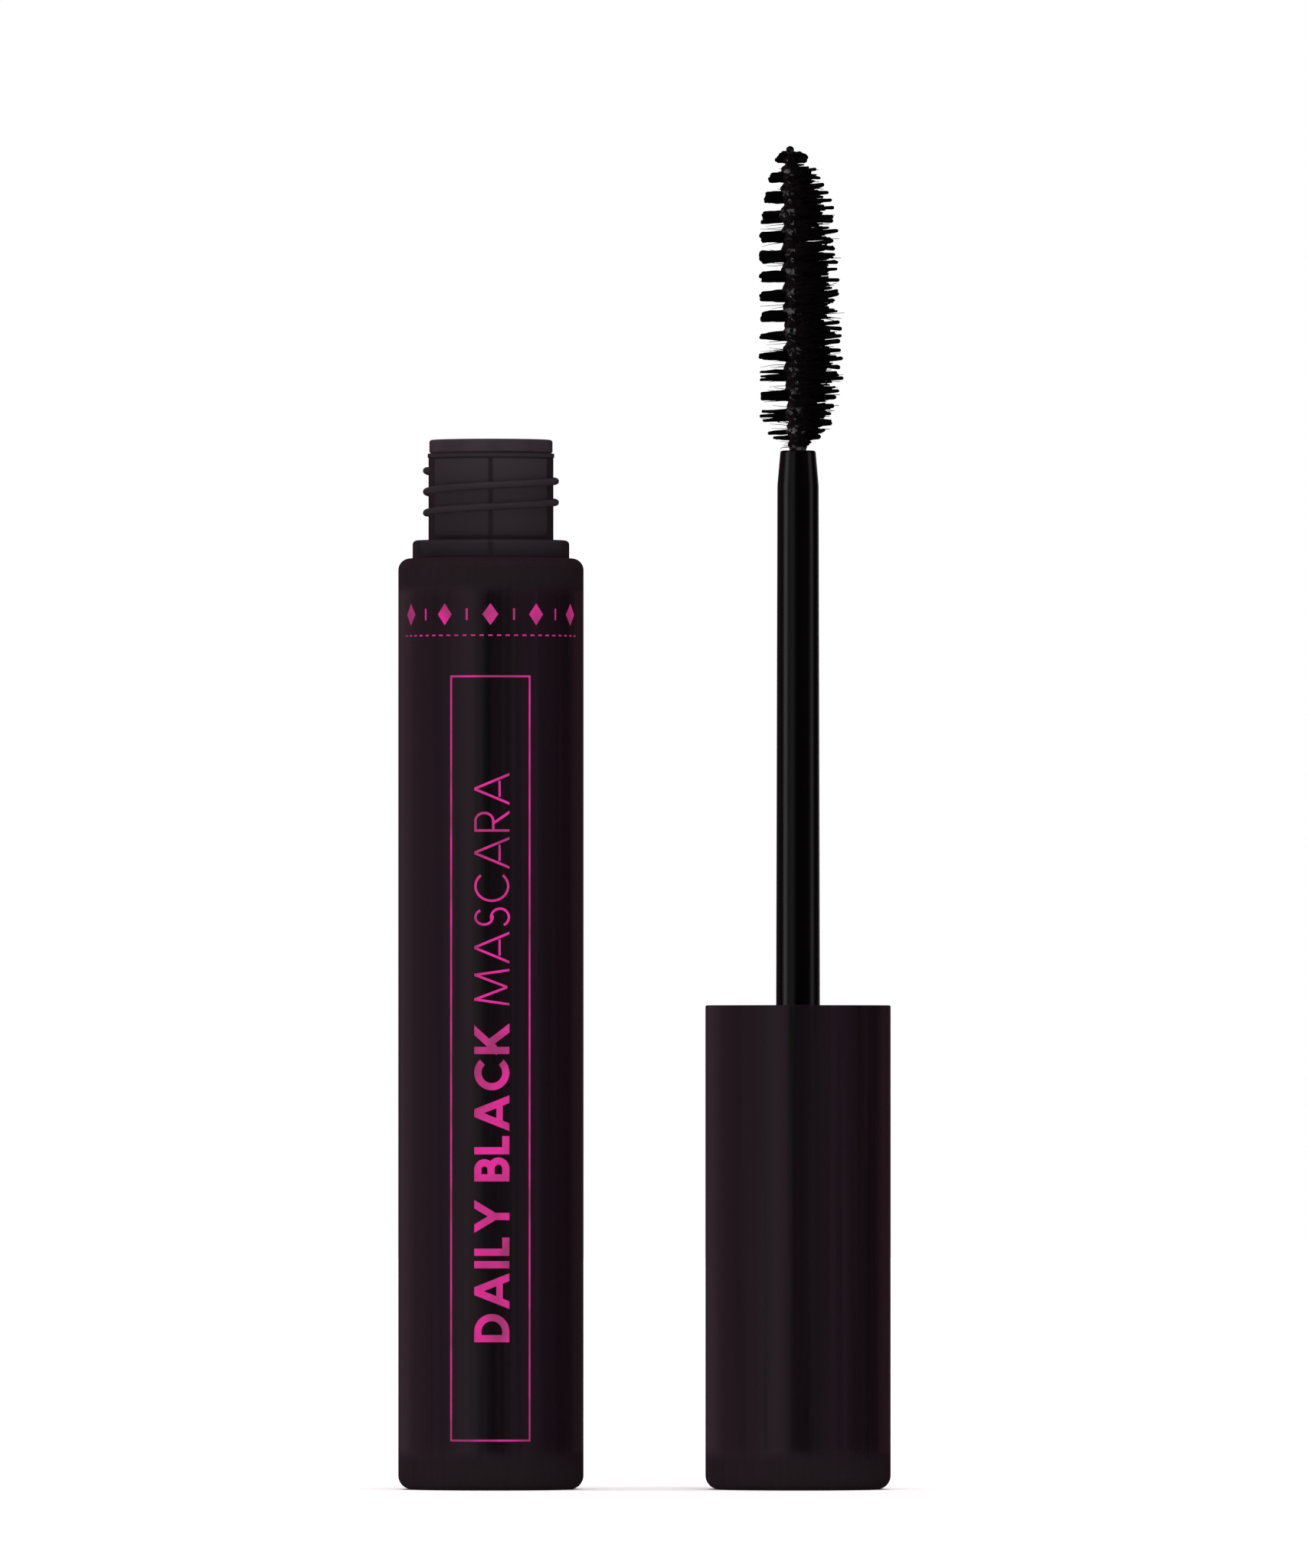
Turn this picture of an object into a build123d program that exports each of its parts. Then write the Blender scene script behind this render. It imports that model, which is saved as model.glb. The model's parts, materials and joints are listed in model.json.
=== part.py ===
"""Mascara, opened for use.

The tube stands on its base with its threaded neck up. Beside it the cap stands upside down on
its closed end, and the wand that it holds points up, with the twisted-wire brush at the top.

The origin is the centre of the tube's base and +Z is up. All sizes are millimetres.
"""

import math
import os

from build123d import *

# Outside shape that the tube and the cap share.
outer_radius = 8.75
end_edge_radius = 1.3

# Outer sleeve of the tube.
sleeve_height = 87.9
sleeve_bore_radius = 7.6
sleeve_floor = 1.5
shoulder_edge_radius = 1.1

# Inner bottle, which carries the collar, the neck and the thread.
bottle_base = 2.0
bottle_radius = 7.2
bottle_bore_radius = 6.1
bottle_floor = 1.2
bottle_base_edge = 0.8
collar_radius = 7.4
collar_press_radius = 7.6
collar_bottom = 84.5
collar_top = 89.6
collar_edge_radius = 0.4
neck_radius = 5.9
neck_bore_radius = 4.7
bore_cone_bottom = 82.5
bore_cone_top = 84.5
neck_bead_radius = 5.98
neck_bead_height = 0.4
neck_top = 97.8

# Right-hand single-start thread of the neck and of the inner cap.
thread_pitch = 2.0
neck_thread_turns = 2.0
neck_thread_start = 92.2
thread_width = 0.65
thread_height = 0.57
thread_root_depth = 0.5
cap_thread_turns = 1.75
cap_thread_height = 0.5

# Wiper pressed into the neck.
wiper_flange_radius = 5.82
wiper_flange_height = 1.3
wiper_flange_edge = 0.3
wiper_sleeve_radius = 4.68
wiper_mouth_radius = 4.05
wiper_bore_radius = 3.8
wiper_cone_top = 92.0
wiper_cone_bottom = 87.6
wiper_orifice_radius = 2.15
wiper_lip_length = 1.0
wiper_lip_outer_radius = 2.9

# Mascara in the bottle, with the hollow that the brush leaves in it.
fill_top = 80.0
fill_hollow_radius = 4.5
fill_hollow_bottom = 5.6

# Cap shell, standing upside down beside the tube.
cap_axis_x = 29.0
cap_length = 45.7
cap_end_wall = 1.5
cap_bore_radius = 7.6
cap_seat_radius = 7.85
cap_rim_chamfer = 0.15

# Inner cap: threaded skirt, web and socket for the stem.
inner_cap_radius = 7.82
inner_cap_rim_gap = 2.1
neck_depth_in_cap = 11.2
gasket_thickness = 0.8
inner_cap_web = 1.5
inner_cap_bore_radius = 6.6
socket_radius = 3.2
socket_length = 10.0
socket_bore_radius = 1.8

# Gasket, loose round the stem on the seat of the inner cap.
gasket_radius = 5.9
gasket_hole_radius = 2.2

# Stem of the wand.
stem_root_radius = 2.1
stem_end_radius = 1.95
stem_tip_radius = 1.66
stem_cone_bottom = 94.8
stem_top = 98.1
stem_tip_edge = 0.3
stem_plug_length = 9.5
wire_hole_radius = 0.5
wire_hole_depth = 9.6

# Twisted wire of the brush, bent over a little from the stem's axis.
brush_lean = 1.5
wire_strand_radius = 0.25
wire_strand_offset = 0.21
wire_twist_pitch = 3.75
wire_shank_radius = 0.46
wire_length = 28.0
wire_tip_radius = 0.45

# Rows of bristles, one for each half twist of the wire.
row_count = 15
first_row_height = 1.5
row_spacing = 1.874
row_thickness = 1.3
row_core_radius = 0.5
row_long_side = 4.6
row_short_side = 3.2
row_base_taper = 0.42
row_tip_taper = 0.62
row_base_taper_length = 3.2
row_tip_taper_length = 9.0

# Heights that follow from those.
cap_seat_height = cap_length - neck_depth_in_cap - gasket_thickness
inner_cap_top = cap_length - inner_cap_rim_gap
inner_cap_bottom = cap_seat_height - inner_cap_web
brush_length = first_row_height + (row_count - 1) * row_spacing

tube_axis = Axis.Z
cap_axis = Axis((cap_axis_x, 0, 0), (0, 0, 1))
tube_section = Plane.XZ
cap_section = Plane(origin=(cap_axis_x, 0, 0), x_dir=(1, 0, 0), z_dir=(0, -1, 0))
cap_base = Plane(origin=(cap_axis_x, 0, 0))
lean = math.radians(brush_lean)
brush_plane = Plane(
    origin=(cap_axis_x, 0, stem_top),
    x_dir=(math.cos(lean), 0, math.sin(lean)),
    z_dir=(-math.sin(lean), 0, math.cos(lean)),
)

os.makedirs("parts", exist_ok=True)


def write(piece, name):
    """Labels a finished piece and writes its STEP file."""
    piece.part.label = name
    export_step(piece.part, f"parts/{name}.step")


def round_edges(piece, radius):
    """Circular edges of one radius, from the lowest to the highest."""
    circles = piece.edges().filter_by(GeomType.CIRCLE)
    return circles.filter_by(lambda edge: abs(edge.radius - radius) < 0.005).sort_by(Axis.Z)


def thread_ridge(section_plane, ridge_reach, root_depth):
    """Draws the round-topped section of a thread: its x axis is radial, away from the wall."""
    with BuildSketch(section_plane) as ridge:
        with Locations(((ridge_reach - root_depth) / 2, 0)):
            SlotOverall(ridge_reach + root_depth, thread_width)
    return ridge


# Outer sleeve: a glossy cup with a rounded base edge and a rounded shoulder.
with BuildPart() as outer_sleeve:
    with BuildSketch(tube_section):
        with BuildLine():
            Polyline(
                (0, 0),
                (outer_radius, 0),
                (outer_radius, sleeve_height),
                (sleeve_bore_radius, sleeve_height),
                (sleeve_bore_radius, sleeve_floor),
                (0, sleeve_floor),
                close=True,
            )
        make_face()
    revolve(axis=tube_axis)
    fillet(round_edges(outer_sleeve, outer_radius)[0], radius=end_edge_radius)
    fillet(round_edges(outer_sleeve, outer_radius)[-1], radius=shoulder_edge_radius)
write(outer_sleeve, "outer_sleeve")

# Inner bottle: the vial, the collar that fills the sleeve's mouth, and the neck with its thread.
with BuildPart() as inner_bottle:
    with BuildSketch(tube_section):
        with BuildLine():
            Polyline(
                (0, bottle_base),
                (bottle_radius, bottle_base),
                (bottle_radius, collar_bottom),
                (collar_press_radius, collar_bottom),
                (collar_press_radius, sleeve_height),
                (collar_radius, sleeve_height),
                (collar_radius, collar_top),
                (neck_radius, collar_top),
                (neck_radius, neck_top - neck_bead_height),
                (neck_bead_radius, neck_top - neck_bead_height),
                (neck_bead_radius, neck_top),
                (neck_bore_radius, neck_top),
                (neck_bore_radius, bore_cone_top),
                (bottle_bore_radius, bore_cone_bottom),
                (bottle_bore_radius, bottle_base + bottle_floor),
                (0, bottle_base + bottle_floor),
                close=True,
            )
        make_face()
    revolve(axis=tube_axis)
    fillet(round_edges(inner_bottle, bottle_radius)[0], radius=bottle_base_edge)
    fillet(round_edges(inner_bottle, collar_radius)[-1], radius=collar_edge_radius)
    with BuildLine(Plane(origin=(0, 0, neck_thread_start), x_dir=(-1, 0, 0))) as neck_helix:
        Helix(thread_pitch, neck_thread_turns * thread_pitch, neck_radius)
    neck_thread_plane = Plane(
        origin=neck_helix.line @ 0,
        x_dir=(-1, 0, 0),
        z_dir=neck_helix.line % 0,
    )
    neck_ridge = thread_ridge(neck_thread_plane, thread_height, thread_root_depth)
    sweep(neck_ridge.sketch, path=neck_helix.line, is_frenet=True)
write(inner_bottle, "inner_bottle")

# Wiper: a flange on the neck's rim, a sleeve pressed into the neck and a lip round the orifice.
with BuildPart() as wiper:
    flange_top = neck_top + wiper_flange_height
    lip_bottom = wiper_cone_bottom - wiper_lip_length
    with BuildSketch(tube_section):
        with BuildLine():
            Polyline(
                (wiper_mouth_radius, flange_top),
                (wiper_flange_radius, flange_top),
                (wiper_flange_radius, neck_top),
                (wiper_sleeve_radius, neck_top),
                (wiper_sleeve_radius, wiper_cone_top),
                (wiper_lip_outer_radius, lip_bottom),
                (wiper_orifice_radius, lip_bottom),
                (wiper_orifice_radius, wiper_cone_bottom),
                (wiper_bore_radius, wiper_cone_top),
                close=True,
            )
        make_face()
    revolve(axis=tube_axis)
    fillet(round_edges(wiper, wiper_flange_radius)[-1], radius=wiper_flange_edge)
write(wiper, "wiper")

# Mascara: it fills the bottle round the hollow that the brush leaves.
with BuildPart() as mascara_fill:
    fill_bottom = bottle_base + bottle_floor
    with BuildSketch(Plane.XY.offset(fill_bottom)):
        Circle(bottle_bore_radius)
    extrude(amount=fill_top - fill_bottom)
    with BuildSketch(Plane.XY.offset(fill_hollow_bottom)):
        Circle(fill_hollow_radius)
    extrude(amount=fill_top - fill_hollow_bottom, mode=Mode.SUBTRACT)
write(mascara_fill, "mascara_fill")

# Cap shell: a glossy cup of the sleeve's own radius, with a step that the inner cap sits on.
with BuildPart() as cap_shell:
    with BuildSketch(cap_section):
        with BuildLine():
            Polyline(
                (0, 0),
                (outer_radius, 0),
                (outer_radius, cap_length),
                (cap_seat_radius, cap_length),
                (cap_seat_radius, inner_cap_bottom),
                (cap_bore_radius, inner_cap_bottom),
                (cap_bore_radius, cap_end_wall),
                (0, cap_end_wall),
                close=True,
            )
        make_face()
    revolve(axis=cap_axis)
    fillet(round_edges(cap_shell, outer_radius)[0], radius=end_edge_radius)
    chamfer(round_edges(cap_shell, outer_radius)[-1], length=cap_rim_chamfer)
write(cap_shell, "cap_shell")

# Inner cap: the threaded skirt, the web that seals on the neck and the stem's socket.
with BuildPart() as inner_cap:
    with BuildSketch(cap_section):
        with BuildLine():
            Polyline(
                (socket_bore_radius, cap_seat_height),
                (inner_cap_bore_radius, cap_seat_height),
                (inner_cap_bore_radius, inner_cap_top),
                (inner_cap_radius, inner_cap_top),
                (inner_cap_radius, inner_cap_bottom),
                (socket_radius, inner_cap_bottom),
                (socket_radius, inner_cap_bottom - socket_length),
                (socket_bore_radius, inner_cap_bottom - socket_length),
                close=True,
            )
        make_face()
    revolve(axis=cap_axis)
    cap_thread_top = inner_cap_top - thread_width
    cap_thread_start = cap_thread_top - cap_thread_turns * thread_pitch
    with BuildLine(cap_base.offset(cap_thread_start)) as cap_helix:
        Helix(thread_pitch, cap_thread_turns * thread_pitch, inner_cap_bore_radius)
    cap_thread_plane = Plane(
        origin=cap_helix.line @ 0,
        x_dir=(-1, 0, 0),
        z_dir=cap_helix.line % 0,
    )
    cap_ridge = thread_ridge(cap_thread_plane, cap_thread_height, thread_root_depth)
    sweep(cap_ridge.sketch, path=cap_helix.line, is_frenet=True)
write(inner_cap, "inner_cap")

# Gasket: a flat washer, loose round the stem.
with BuildPart() as cap_gasket:
    with BuildSketch(cap_base.offset(cap_seat_height)):
        Circle(gasket_radius)
        Circle(gasket_hole_radius, mode=Mode.SUBTRACT)
    extrude(amount=gasket_thickness)
write(cap_gasket, "cap_gasket")

# Stem: a tapered rod with a plug for the socket and a blind hole for the wire.
with BuildPart() as wand_stem:
    plug_bottom = cap_seat_height - stem_plug_length
    with BuildSketch(cap_section):
        with BuildLine():
            Polyline(
                (0, plug_bottom),
                (socket_bore_radius, plug_bottom),
                (socket_bore_radius, cap_seat_height),
                (stem_root_radius, cap_seat_height),
                (stem_end_radius, stem_cone_bottom),
                (stem_tip_radius, stem_top - stem_tip_edge),
                (stem_tip_radius, stem_top),
                (wire_hole_radius, stem_top),
                (wire_hole_radius, stem_top - wire_hole_depth),
                (0, stem_top - wire_hole_depth),
                close=True,
            )
        make_face()
    revolve(axis=cap_axis)
    fillet(round_edges(wand_stem, stem_tip_radius)[-1], radius=stem_tip_edge * 0.9)
write(wand_stem, "wand_stem")

# Brush wire: one wire bent double and given a left-hand twist, with its shank in the stem.
with BuildPart() as brush_wire:
    with BuildSketch(Plane(origin=(cap_axis_x, 0, stem_top - wire_hole_depth))):
        Circle(wire_shank_radius)
    extrude(amount=wire_hole_depth + wire_shank_radius)
    with BuildSketch(mode=Mode.PRIVATE) as strand_pair:
        with Locations((wire_strand_offset, 0), (-wire_strand_offset, 0)):
            Circle(wire_strand_radius)
    twisted_pair = Solid.extrude_linear_with_rotation(
        strand_pair.face(),
        center=(0, 0, 0),
        normal=(0, 0, wire_length),
        angle=-360 * wire_length / wire_twist_pitch,
    )
    add(brush_plane.location * twisted_pair)
    with Locations(brush_plane.offset(wire_length).location):
        Sphere(wire_tip_radius)
write(brush_wire, "brush_wire")


def row_size(height):
    """Share of the full bristle length at a height above the stem: full in the middle of the
    brush, and falling off as a quarter of a circle towards its base and its tip."""
    from_base = height / row_base_taper_length
    from_tip = (brush_length + row_spacing / 2 - height) / row_tip_taper_length
    base_loss = row_base_taper * (1 - math.sqrt(1 - (1 - min(from_base, 1)) ** 2))
    tip_loss = row_tip_taper * (1 - math.sqrt(1 - (1 - min(from_tip, 1)) ** 2))
    return 1 - base_loss - tip_loss


# Bristle rows: each is the band of bristles that one half twist of the wire holds, longer on
# the combing side than on the side that is cut flush.
for row in range(row_count):
    row_height = first_row_height + row * row_spacing
    size = row_size(row_height)
    with BuildPart() as bristle_row:
        with BuildSketch(brush_plane.offset(row_height - row_thickness / 2)):
            with Locations(((row_long_side - row_short_side) / 2 * size, 0)):
                Circle((row_long_side + row_short_side) / 2 * size)
            Circle(row_core_radius, mode=Mode.SUBTRACT)
        extrude(amount=row_thickness)
    write(bristle_row, f"bristle_row_{row + 1:02d}")
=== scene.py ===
"""Open mascara: the tube stands on its base and the cap stands upside down beside it.

The wand that the cap holds points up, with the twisted-wire brush at its end. Sizes in the
sections are millimetres, and MM takes them to the frame's metres.
"""

import json
import math

import bpy
import numpy as np
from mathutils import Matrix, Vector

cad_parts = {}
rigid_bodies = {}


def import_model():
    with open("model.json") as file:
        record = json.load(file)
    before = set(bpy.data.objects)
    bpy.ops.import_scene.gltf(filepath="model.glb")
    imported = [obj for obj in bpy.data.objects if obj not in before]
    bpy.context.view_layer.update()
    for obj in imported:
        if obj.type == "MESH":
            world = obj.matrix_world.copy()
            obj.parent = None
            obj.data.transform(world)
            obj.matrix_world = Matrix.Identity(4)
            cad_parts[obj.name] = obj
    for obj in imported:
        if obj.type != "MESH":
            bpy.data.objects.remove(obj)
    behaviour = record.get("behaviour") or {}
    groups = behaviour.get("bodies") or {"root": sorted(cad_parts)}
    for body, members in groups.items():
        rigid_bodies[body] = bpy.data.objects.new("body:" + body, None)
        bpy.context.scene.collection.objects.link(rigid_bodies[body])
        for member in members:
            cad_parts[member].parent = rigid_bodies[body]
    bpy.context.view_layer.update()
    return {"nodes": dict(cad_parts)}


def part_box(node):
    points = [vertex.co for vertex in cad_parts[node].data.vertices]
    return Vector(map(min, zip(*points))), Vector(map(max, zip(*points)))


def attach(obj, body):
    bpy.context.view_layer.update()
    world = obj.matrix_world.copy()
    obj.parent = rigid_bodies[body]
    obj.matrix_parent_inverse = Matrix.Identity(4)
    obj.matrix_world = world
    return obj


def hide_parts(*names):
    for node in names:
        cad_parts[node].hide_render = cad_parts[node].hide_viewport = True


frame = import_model()

MM = 0.001

# ---------------------------------------------------------------------------------------
# Studio: a pale floor under an overhead softbox, in a tent of soft panels with a narrow dark
# gap in front, through which the camera looks along +Y with a long lens.
# ---------------------------------------------------------------------------------------

SCENE = bpy.context.scene
VIEW_DISTANCE = 2500 * MM
VIEW_CENTRE_X = 15.4 * MM
VIEW_CENTRE_Z = 66.6 * MM
VIEW_HEIGHT = 148.1 * MM
EYE_LEVEL = 40 * MM
SENSOR = 36.0

camera_data = bpy.data.cameras.new("studio_camera")
camera_data.sensor_width = SENSOR
camera_data.lens = SENSOR * VIEW_DISTANCE / VIEW_HEIGHT
camera_data.clip_start = 0.01
camera_data.clip_end = 20
camera = bpy.data.objects.new("studio_camera", camera_data)
camera.location = (VIEW_CENTRE_X, -VIEW_DISTANCE, EYE_LEVEL)
look_up = math.atan((VIEW_CENTRE_Z - EYE_LEVEL) / VIEW_DISTANCE)
camera.rotation_euler = (math.radians(90) + look_up, 0, 0)
SCENE.collection.objects.link(camera)
SCENE.camera = camera
SCENE.view_settings.view_transform = "Standard"

# Colour of the tent by azimuth in degrees, from 0 at the camera to the right: soft panels to
# both sides, brighter on the left, with the dark gap for the camera between them.
TENT_PANELS = (
    (-180, (0.04, 0.03, 0.035)),
    (-158, (0.07, 0.05, 0.058)),
    (-145, (0.150, 0.096, 0.123)),
    (-125, (0.240, 0.144, 0.182)),
    (-99, (0.265, 0.147, 0.211)),
    (-81, (0.273, 0.155, 0.212)),
    (-63, (0.320, 0.177, 0.250)),
    (-42, (0.342, 0.238, 0.306)),
    (-34, (0.440, 0.312, 0.387)),
    (-22, (0.400, 0.277, 0.328)),
    (-10, (0.200, 0.171, 0.181)),
    (-5, (0.03, 0.03, 0.03)),
    (8, (0.03, 0.028, 0.032)),
    (28, (0.215, 0.140, 0.185)),
    (60, (0.230, 0.129, 0.204)),
    (78, (0.120, 0.063, 0.099)),
    (106, (0.060, 0.027, 0.045)),
    (132, (0.098, 0.046, 0.056)),
    (148, (0.052, 0.026, 0.034)),
    (180, (0.04, 0.03, 0.035)),
)


def node_of(tree, kind, **settings):
    """Adds a node of that kind to the tree and sets its properties and its inputs by name."""
    node = tree.nodes.new(kind)
    for key, value in settings.items():
        if hasattr(node, key):
            setattr(node, key, value)
        else:
            node.inputs[key.replace("_", " ")].default_value = value
    return node


def tent_world():
    """World whose brightness is a curve over the azimuth atan2(x, -y) of the ray, and plain
    white where the camera looks past the object."""
    world = bpy.data.worlds.new("studio_tent")
    world.use_nodes = True
    tree = world.node_tree
    tree.nodes.clear()
    link = tree.links.new
    direction = node_of(tree, "ShaderNodeTexCoord")
    parts = node_of(tree, "ShaderNodeSeparateXYZ")
    link(direction.outputs["Generated"], parts.inputs[0])
    ahead = node_of(tree, "ShaderNodeMath", operation="MULTIPLY")
    ahead.inputs[1].default_value = -1
    link(parts.outputs["Y"], ahead.inputs[0])
    azimuth = node_of(tree, "ShaderNodeMath", operation="ARCTAN2")
    link(parts.outputs["X"], azimuth.inputs[0])
    link(ahead.outputs[0], azimuth.inputs[1])
    turn = node_of(tree, "ShaderNodeMapRange")
    turn.inputs["From Min"].default_value = -math.pi
    turn.inputs["From Max"].default_value = math.pi
    link(azimuth.outputs[0], turn.inputs["Value"])
    panels = node_of(tree, "ShaderNodeValToRGB")
    ramp = panels.color_ramp
    for place, colour in TENT_PANELS[1:-1]:
        ramp.elements.new((place + 180) / 360)
    for element, (place, colour) in zip(ramp.elements, TENT_PANELS):
        element.position = (place + 180) / 360
        element.color = (*colour, 1)
    link(turn.outputs["Result"], panels.inputs["Fac"])
    tent = node_of(tree, "ShaderNodeBackground", Strength=1.0)
    link(panels.outputs["Color"], tent.inputs["Color"])
    backdrop = node_of(tree, "ShaderNodeBackground", Strength=1.0)
    backdrop.inputs["Color"].default_value = (1, 1, 1, 1)
    path = node_of(tree, "ShaderNodeLightPath")
    mix = node_of(tree, "ShaderNodeMixShader")
    link(path.outputs["Is Camera Ray"], mix.inputs["Fac"])
    link(tent.outputs[0], mix.inputs[1])
    link(backdrop.outputs[0], mix.inputs[2])
    link(mix.outputs[0], node_of(tree, "ShaderNodeOutputWorld").inputs["Surface"])
    return world


SCENE.world = tent_world()

overhead_data = bpy.data.lights.new("overhead_softbox", "SUN")
overhead_data.energy = 3.6
overhead_data.angle = math.radians(70)
overhead = bpy.data.objects.new("overhead_softbox", overhead_data)
overhead.visible_glossy = False
SCENE.collection.objects.link(overhead)

front_data = bpy.data.lights.new("front_fill", "SUN")
front_data.energy = 1.6
front_data.angle = math.radians(60)
front = bpy.data.objects.new("front_fill", front_data)
front.rotation_euler = (math.radians(80), 0, math.radians(12))
front.visible_glossy = False
SCENE.collection.objects.link(front)

# Tall strips round the wand, by azimuth in degrees, width in metres and radiance. They only
# light the stem, and draw its long highlights.
WAND_STRIPS = ((-72, 0.14, 7.0), (-36, 0.2, 1.6), (80, 0.13, 3.0), (147, 0.05, 0.9))
STRIP_DISTANCE = 350 * MM
STRIP_HEIGHT = 900 * MM
STRIP_LEVEL = 70 * MM
wand_x = sum(corner.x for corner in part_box("wand_stem")) / 2
wand_lit = bpy.data.collections.new("wand_lit")
for azimuth, width, radiance in WAND_STRIPS:
    strip_data = bpy.data.lights.new(f"strip_{azimuth % 360:03d}", "AREA")
    strip_data.shape = "RECTANGLE"
    strip_data.size = width
    strip_data.size_y = STRIP_HEIGHT
    strip_data.energy = radiance * math.pi * width * STRIP_HEIGHT
    strip = bpy.data.objects.new(strip_data.name, strip_data)
    turn = math.radians(azimuth)
    strip.location = (
        wand_x + STRIP_DISTANCE * math.sin(turn),
        -STRIP_DISTANCE * math.cos(turn),
        STRIP_LEVEL,
    )
    strip.rotation_euler = (math.radians(90), 0, turn)
    strip.visible_camera = False
    strip.light_linking.receiver_collection = wand_lit
    SCENE.collection.objects.link(strip)

# A small lamp up on the left, which only lights the brush and sparkles on its wet paste.
spark_data = bpy.data.lights.new("paste_spark", "AREA")
spark_data.shape = "DISK"
spark_data.size = 50 * MM
spark_data.energy = 0.5
spark = bpy.data.objects.new("paste_spark", spark_data)
spark.location = (-90 * MM, -250 * MM, 260 * MM)
spark.rotation_euler = (math.radians(62), 0, math.radians(-25))
spark.visible_camera = False
paste_lit = bpy.data.collections.new("paste_lit")
spark.light_linking.receiver_collection = paste_lit
SCENE.collection.objects.link(spark)

FLOOR_HALF = 3000 * MM
floor_mesh = bpy.data.meshes.new("floor")
floor_mesh.from_pydata(
    [(x * FLOOR_HALF, y * FLOOR_HALF, 0) for x, y in ((-1, -1), (1, -1), (1, 1), (-1, 1))],
    [],
    [(0, 1, 2, 3)],
)
floor = bpy.data.objects.new("floor", floor_mesh)
SCENE.collection.objects.link(floor)
floor_paper = bpy.data.materials.new("floor_paper")
floor_paper.use_nodes = True
paper = floor_paper.node_tree.nodes["Principled BSDF"]
paper.inputs["Base Color"].default_value = (0.92, 0.92, 0.92, 1)
paper.inputs["Roughness"].default_value = 0.9
paper.inputs["Specular IOR Level"].default_value = 0.0
floor_mesh.materials.append(floor_paper)

# ---------------------------------------------------------------------------------------
# Outer sleeve: a cup moulded in glossy near-black styrene acrylonitrile, with a rounded base
# edge and a rounded shoulder. The bottle is pressed into its mouth.
# ---------------------------------------------------------------------------------------

sleeve_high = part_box("outer_sleeve")[1]
OUTER_RADIUS = sleeve_high.x / MM
SLEEVE_HEIGHT = sleeve_high.z / MM
SLEEVE_BORE = 7.6
SLEEVE_FLOOR = 1.5
BASE_EDGE = 1.3
SHOULDER_EDGE = 1.1
# Heights over which the streaky gloss turns to a matt plum band, at the foot and the shoulder.
BASE_BAND = (4.6, 1.9)
MOUTH_BAND = (83.8, 86.2)
BAND_PLUM = (0.008, 0.0046, 0.0057)
STREAK_DARK = (0.0014, 0.0013, 0.0014)
STREAK_PLUM = (0.0046, 0.0025, 0.004)
ROUND_STEPS = 10
SUPPORT = 0.06
POLE = 0.4


def outline(*corners):
    """Profile through corners (r, z) or (r, z, fillet). A corner with a fillet becomes an arc
    tangent to both its sides: it starts fillet / tan(half the inner angle) before the corner
    and turns about the centre by equal steps. Straight sides get a point near each end, so
    that the smooth shading of an arc stays on the arc."""
    points = []
    count = len(corners)
    for i, corner in enumerate(corners):
        here = np.array(corner[:2], float)
        before = np.array(corners[i - 1][:2], float)
        after = np.array(corners[(i + 1) % count][:2], float)
        if len(corner) == 2 or i in (0, count - 1):
            points.append(here[None])
            continue
        to_before = (before - here) / np.linalg.norm(before - here)
        to_after = (after - here) / np.linalg.norm(after - here)
        half = math.acos(np.clip(to_before @ to_after, -1, 1)) / 2
        middle = to_before + to_after
        centre = here + middle / np.linalg.norm(middle) * corner[2] / math.sin(half)
        start = here + to_before * corner[2] / math.tan(half) - centre
        end = here + to_after * corner[2] / math.tan(half) - centre
        share = np.linspace(0, 1, ROUND_STEPS)[:, None]
        spread = math.pi - 2 * half
        arc = (np.sin((1 - share) * spread) * start + np.sin(share * spread) * end)
        points.append(centre + arc / math.sin(spread))
    line = np.concatenate(points)
    run = np.diff(line, axis=0)
    length = np.linalg.norm(run, axis=1)
    long_side = np.flatnonzero(length > 6 * SUPPORT)
    near = line[long_side] + run[long_side] / length[long_side, None] * SUPPORT
    far = line[long_side + 1] - run[long_side] / length[long_side, None] * SUPPORT
    places = np.repeat(long_side + 1, 2)
    return np.insert(line, places, np.stack([near, far], 1).reshape(-1, 2), axis=0)


def skin(name, rings, ends="capped", sharp=40):
    """Mesh over rings[n, i, j] in metres: strip n is skinned from ring i to ring i + 1, all the
    way round j. Capped ends are fans about the end ring's mean; joined ends run the last ring
    into the first. Edges that turn by more than sharp degrees are crisp."""
    count, rows, columns = rings.shape[:3]
    index = np.arange(count * rows * columns).reshape(count, rows, columns)
    lower, upper = index[:, :-1], index[:, 1:]
    if ends == "joined":
        lower, upper = index, np.roll(index, -1, 1)
    quads = np.stack([lower, np.roll(lower, -1, 2), np.roll(upper, -1, 2), upper], -1)
    points, faces = rings.reshape(-1, 3), quads.reshape(-1, 4).tolist()
    if ends == "capped":
        first, last = index[:, 0], index[:, -1]
        centre = len(points) + np.arange(2 * count).reshape(2, count, 1).repeat(columns, 2)
        bottom = np.stack([centre[0], np.roll(first, -1, 1), first], -1)
        top = np.stack([centre[1], last, np.roll(last, -1, 1)], -1)
        points = np.concatenate([points, rings[:, 0].mean(1), rings[:, -1].mean(1)])
        faces += np.concatenate([bottom, top]).reshape(-1, 3).tolist()
    mesh = bpy.data.meshes.new(name)
    mesh.from_pydata(points.tolist(), [], faces)
    mesh.shade_smooth()
    mesh.set_sharp_from_angle(angle=math.radians(sharp))
    piece = bpy.data.objects.new(name, mesh)
    SCENE.collection.objects.link(piece)
    return piece


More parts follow.
